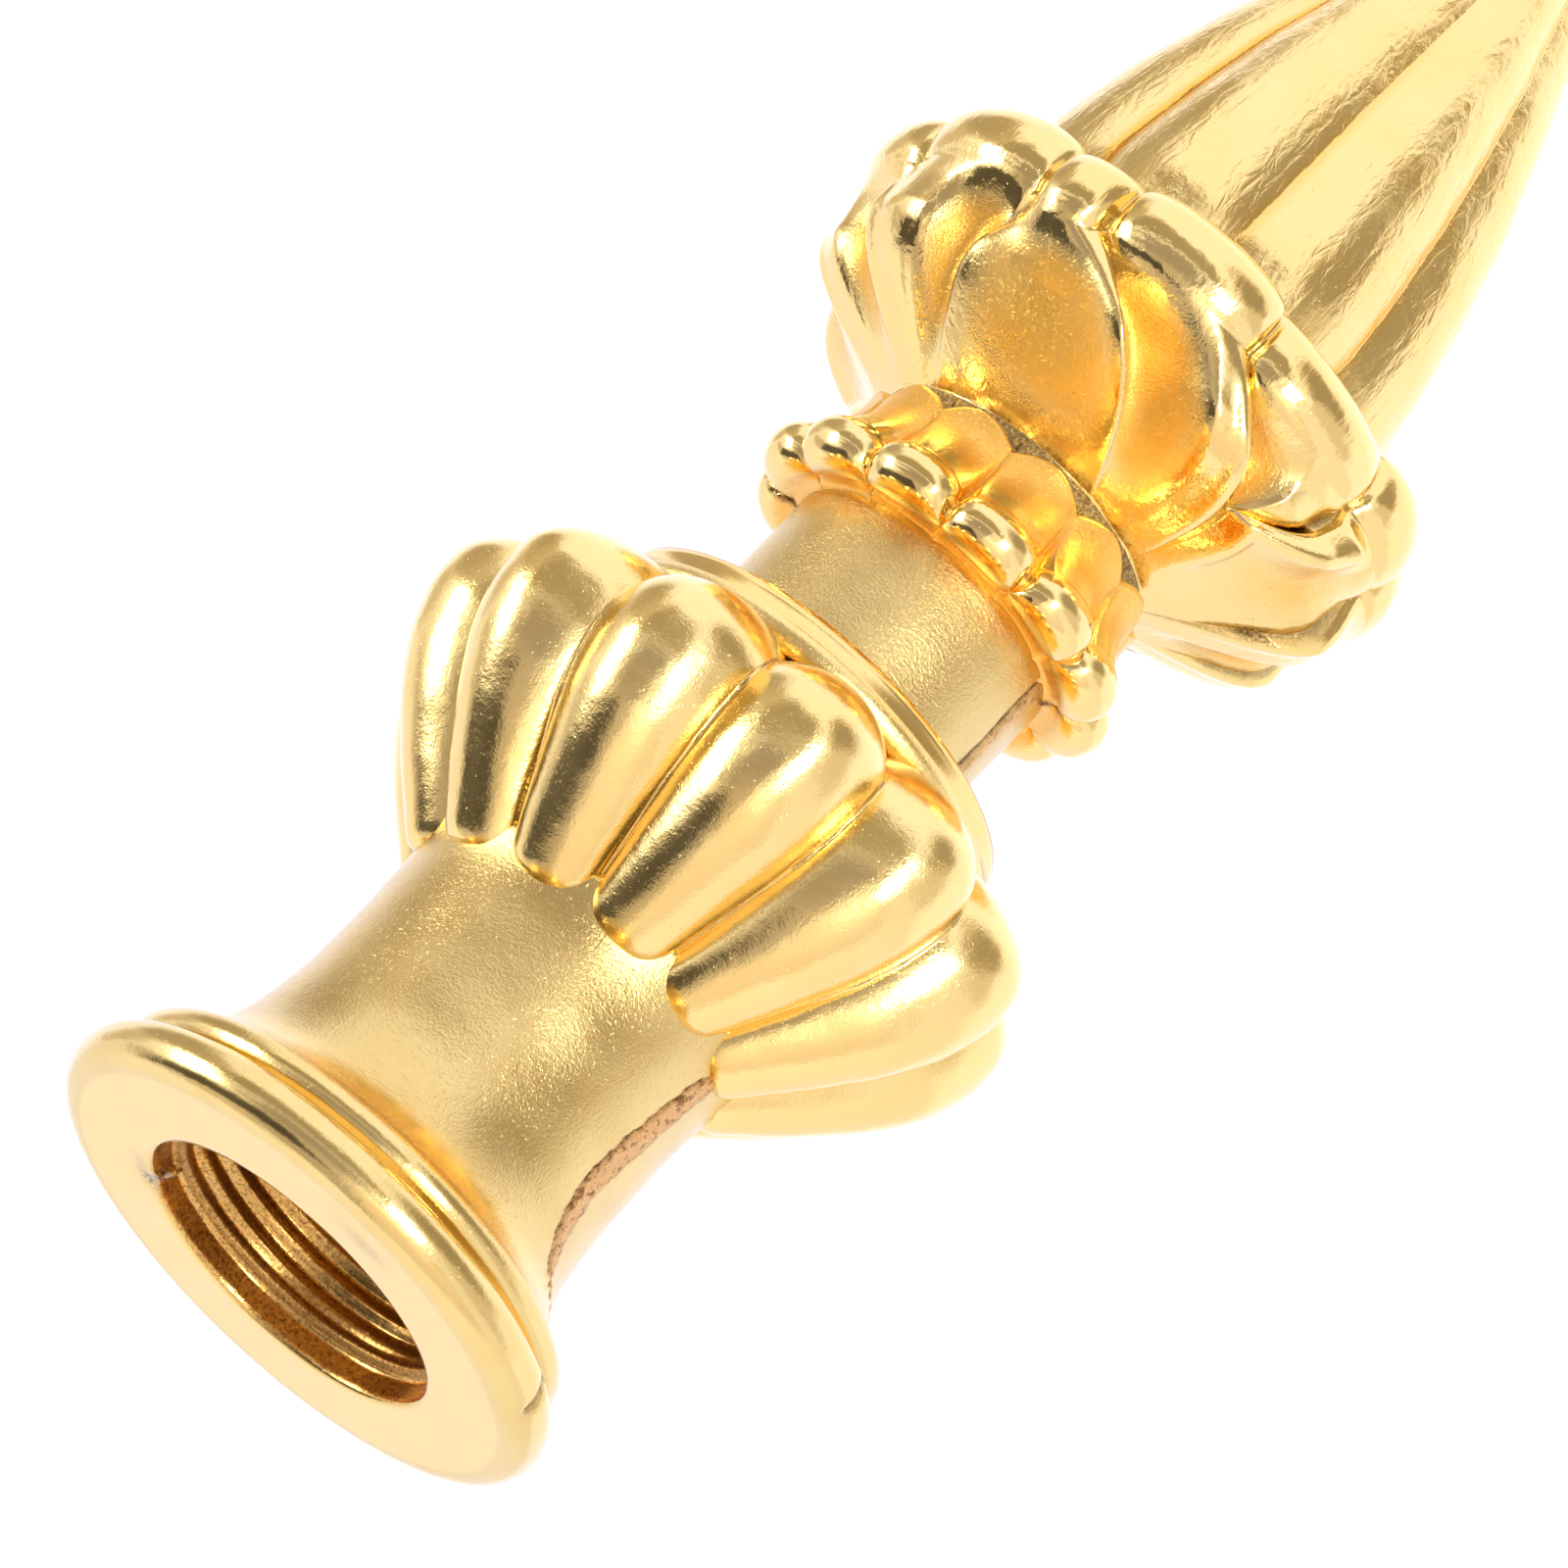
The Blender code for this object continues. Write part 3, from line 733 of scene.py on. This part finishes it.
def gold_material(name, wave, wrinkle, grain, shine):
    """Gold plate over a casting. wave is how uneven the polished surface is, wrinkle how far the casting is
    drawn into lengthwise wrinkles, grain how strong the sand grain is where it's satin, and shine the
    roughness of the polished surface. The first three are heights in millimetres."""
    material = bpy.data.materials.new(name)
    material.use_nodes = True
    tree = Nodes(material.node_tree)
    shader = material.node_tree.nodes["Principled BSDF"]
    marks = {}
    for mark in ("hollow", "satin", "dull", "dirt_and_shade", "scar", "bore", "nick"):
        marks[mark] = tree.add("ShaderNodeAttribute", {"attribute_name": mark}).outputs["Fac"]
    where = tree.add("ShaderNodeTexCoord").outputs["Object"]
    place = tree.add("ShaderNodeMapping", Vector=where, Scale=(1 / MM, 1 / MM, 1 / MM)).outputs[0]
    drawn = tree.add("ShaderNodeMapping", Vector=where, Scale=(1 / MM, 1 / MM, 0.28 / MM)).outputs[0]
    slow = tree.noise(place, 0.45, 3.0, 0.55)
    fine = tree.noise(place, 3.2, 4.0, 0.62)
    specks = tree.noise(place, 9.0, 3.0, 0.7)
    # The orange in the hollows is a painted reflection of gold in gold
    hollow = tree.times(marks["hollow"], tree.band(fine, 0.25, 0.6, 0.8, 1.0))
    # The darker marks are dirt, and in the steps under overlapping petals painted shade
    dirt_and_shade = tree.times(marks["dirt_and_shade"], tree.band(specks, 0.3, 0.62, 0.45, 1.0))

    colour = plate_colour(tree, marks, slow, hollow)
    tree.put(shader.inputs["Base Color"], worn_colour(tree, marks, colour, fine, specks, dirt_and_shade))
    powdery = tree.times(tree.times(hollow, marks["satin"]), 0.4, True)
    tree.put(shader.inputs["Metallic"], tree.math("SUBTRACT", 1.0, powdery))
    tree.put(shader.inputs["Roughness"], gold_roughness(tree, marks, slow, specks, dirt_and_shade, shine))
    height = gold_relief(tree, marks, place, drawn, fine, specks, wave, wrinkle, grain)
    bump = tree.add("ShaderNodeBump", Height=height, Strength=1.0, Distance=MM)
    tree.put(shader.inputs["Normal"], bump.outputs[0])
    return material


# Studio: floor, cards, room, lights and camera


def paper_material(name, colour):
    """Matt paper with a faint grain."""
    material = bpy.data.materials.new(name)
    material.use_nodes = True
    tree = Nodes(material.node_tree)
    shader = material.node_tree.nodes["Principled BSDF"]
    where = tree.add("ShaderNodeTexCoord").outputs["Object"]
    fibre = tree.band(tree.noise(where, 400.0, 3.0), 0.3, 0.7)
    darker = tuple(0.97 * c for c in colour)
    tree.put(shader.inputs["Base Color"], tree.blend(fibre, (*darker, 1), (*colour, 1)))
    shader.inputs["Roughness"].default_value = PAPER_ROUGHNESS
    return material


def card(name, middle, size, turn, level, shade, tint=CARD_TINT):
    """A flat sheet of matt paper, lying level."""
    bpy.ops.mesh.primitive_plane_add(size=1, location=(*middle, level), rotation=(0, 0, math.radians(turn)))
    sheet = bpy.context.active_object
    sheet.name = name
    sheet.scale = (*size, 1)
    colour = tuple(min(shade * c, PAPER_WHITE) for c in tint)
    sheet.data.materials.append(paper_material(name + "_paper", colour))


def heading(azimuth, elevation):
    """The unit vector toward an azimuth and elevation in degrees."""
    a, e = math.radians(azimuth), math.radians(elevation)
    return Vector((math.sin(a) * math.cos(e), -math.cos(a) * math.cos(e), math.sin(e)))


def studio_world():
    """A bright room with the darker parts that the gold shows on the camera's side."""
    world = bpy.data.worlds.new("studio")
    world.use_nodes = True
    tree = Nodes(world.node_tree)
    towards = tree.add("ShaderNodeTexCoord").outputs["Generated"]
    level = ROOM_LEVEL
    for azimuth, elevation, inner, outer, part_level in ROOM_PARTS:
        dot = tree.add("ShaderNodeVectorMath", {"operation": "DOT_PRODUCT"})
        tree.put(dot.inputs[0], towards)
        tree.put(dot.inputs[1], heading(azimuth, elevation))
        ends = math.cos(math.radians(outer)), math.cos(math.radians(inner))
        mixed = tree.add("ShaderNodeMix", {"data_type": "FLOAT"})
        tree.put(mixed.inputs[0], tree.band(dot.outputs["Value"], *ends))
        tree.put(mixed.inputs[2], level)
        tree.put(mixed.inputs[3], part_level)
        level = mixed.outputs[0]
    background = world.node_tree.nodes["Background"]
    tree.put(background.inputs["Strength"], level)
    colour = tree.blend(tree.band(level, 0.45, 1.15), DIM_LIGHT, BRIGHT_LIGHT)
    tree.put(background.inputs["Color"], colour)
    bpy.context.scene.world = world


def soft_light(name, azimuth, elevation, distance, wide, high, power):
    """A soft rectangular lamp in this direction, turned toward the finial."""
    lamp = bpy.data.lights.new(name, "AREA")
    lamp.shape = "RECTANGLE"
    lamp.size = wide
    lamp.size_y = high
    lamp.energy = power
    obj = bpy.data.objects.new(name, lamp)
    bpy.context.scene.collection.objects.link(obj)
    obj.visible_camera = False
    away = heading(azimuth, elevation)
    turn = away.to_track_quat("Z", "Y").to_matrix()
    aim = Vector((0, 0, 0.025))
    obj.matrix_world = Matrix.Translation(away * distance + aim) @ turn.to_4x4()


def photograph_camera():
    """The photograph's view: from below the foot, up along the finial, and rolled."""
    camera = bpy.data.objects.new("camera", bpy.data.cameras.new("camera"))
    bpy.context.scene.collection.objects.link(camera)
    toward = heading(VIEW_AZIMUTH, VIEW_ELEVATION)
    upright = toward.to_track_quat("Z", "Y").to_matrix()
    rolled = upright @ Matrix.Rotation(math.radians(VIEW_ROLL), 3, "Z")
    place = Vector(VIEW_AIM) * MM + toward * VIEW_DISTANCE * MM
    camera.matrix_world = Matrix.Translation(place) @ rolled.to_4x4()
    camera.data.lens = VIEW_LENS
    camera.data.sensor_width = 36
    camera.data.clip_start = 0.01
    camera.data.clip_end = 20
    return camera


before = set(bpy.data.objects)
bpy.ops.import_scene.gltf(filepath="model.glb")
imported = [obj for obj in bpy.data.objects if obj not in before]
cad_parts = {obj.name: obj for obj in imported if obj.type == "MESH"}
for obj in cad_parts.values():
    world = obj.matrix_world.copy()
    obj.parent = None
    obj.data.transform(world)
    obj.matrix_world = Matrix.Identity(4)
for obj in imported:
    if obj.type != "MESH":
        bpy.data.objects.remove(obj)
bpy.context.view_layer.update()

# Columns and rows of each piece's grid, its surface, and its gold: name, wave, wrinkle, grain and shine
PIECES = (
    ("foot_and_waist", 400, 240, foot_surface, ("gold_foot", 0.008, 0.0, 0.018, 0.11)),
    ("bulb", 720, 130, bulb_surface, ("gold_bulb", 0.011, 0.004, 0.014, 0.10)),
    ("ring_and_stem", 360, 70, stem_surface, ("gold_stem", 0.002, 0.0, 0.030, 0.12)),
    ("leaf_collar", 720, 110, collar_surface, ("gold_leaves", 0.006, 0.0, 0.016, 0.10)),
    ("petal_cup", 672, 132, cup_surface, ("gold_petals", 0.012, 0.018, 0.022, 0.10)),
    ("bud", 480, 150, bud_surface, ("gold_bud", 0.008, 0.045, 0.012, 0.12)),
)
for name, columns, rows, surface, gold in PIECES:
    formed(name, columns, rows, surface, gold_material(*gold))

bpy.context.scene.camera = photograph_camera()
card("floor", (0, 0), (FLOOR_SIZE, FLOOR_SIZE), 0, FLOOR_LEVEL, FLOOR_SHADE, FLOOR_TINT)
for index, (name, middle, size, turn, shade) in enumerate(FLOOR_CARDS):
    card(name, middle, size, turn, FLOOR_LEVEL + MM * (1 + index), shade)
studio_world()
soft_light("side_softbox", -70, -13, 0.27, 0.09, 0.14, 0.27)
soft_light("front_softbox", 31, -10, 0.32, 0.06, 0.15, 0.42)
bpy.context.scene.view_settings.view_transform = "Standard"
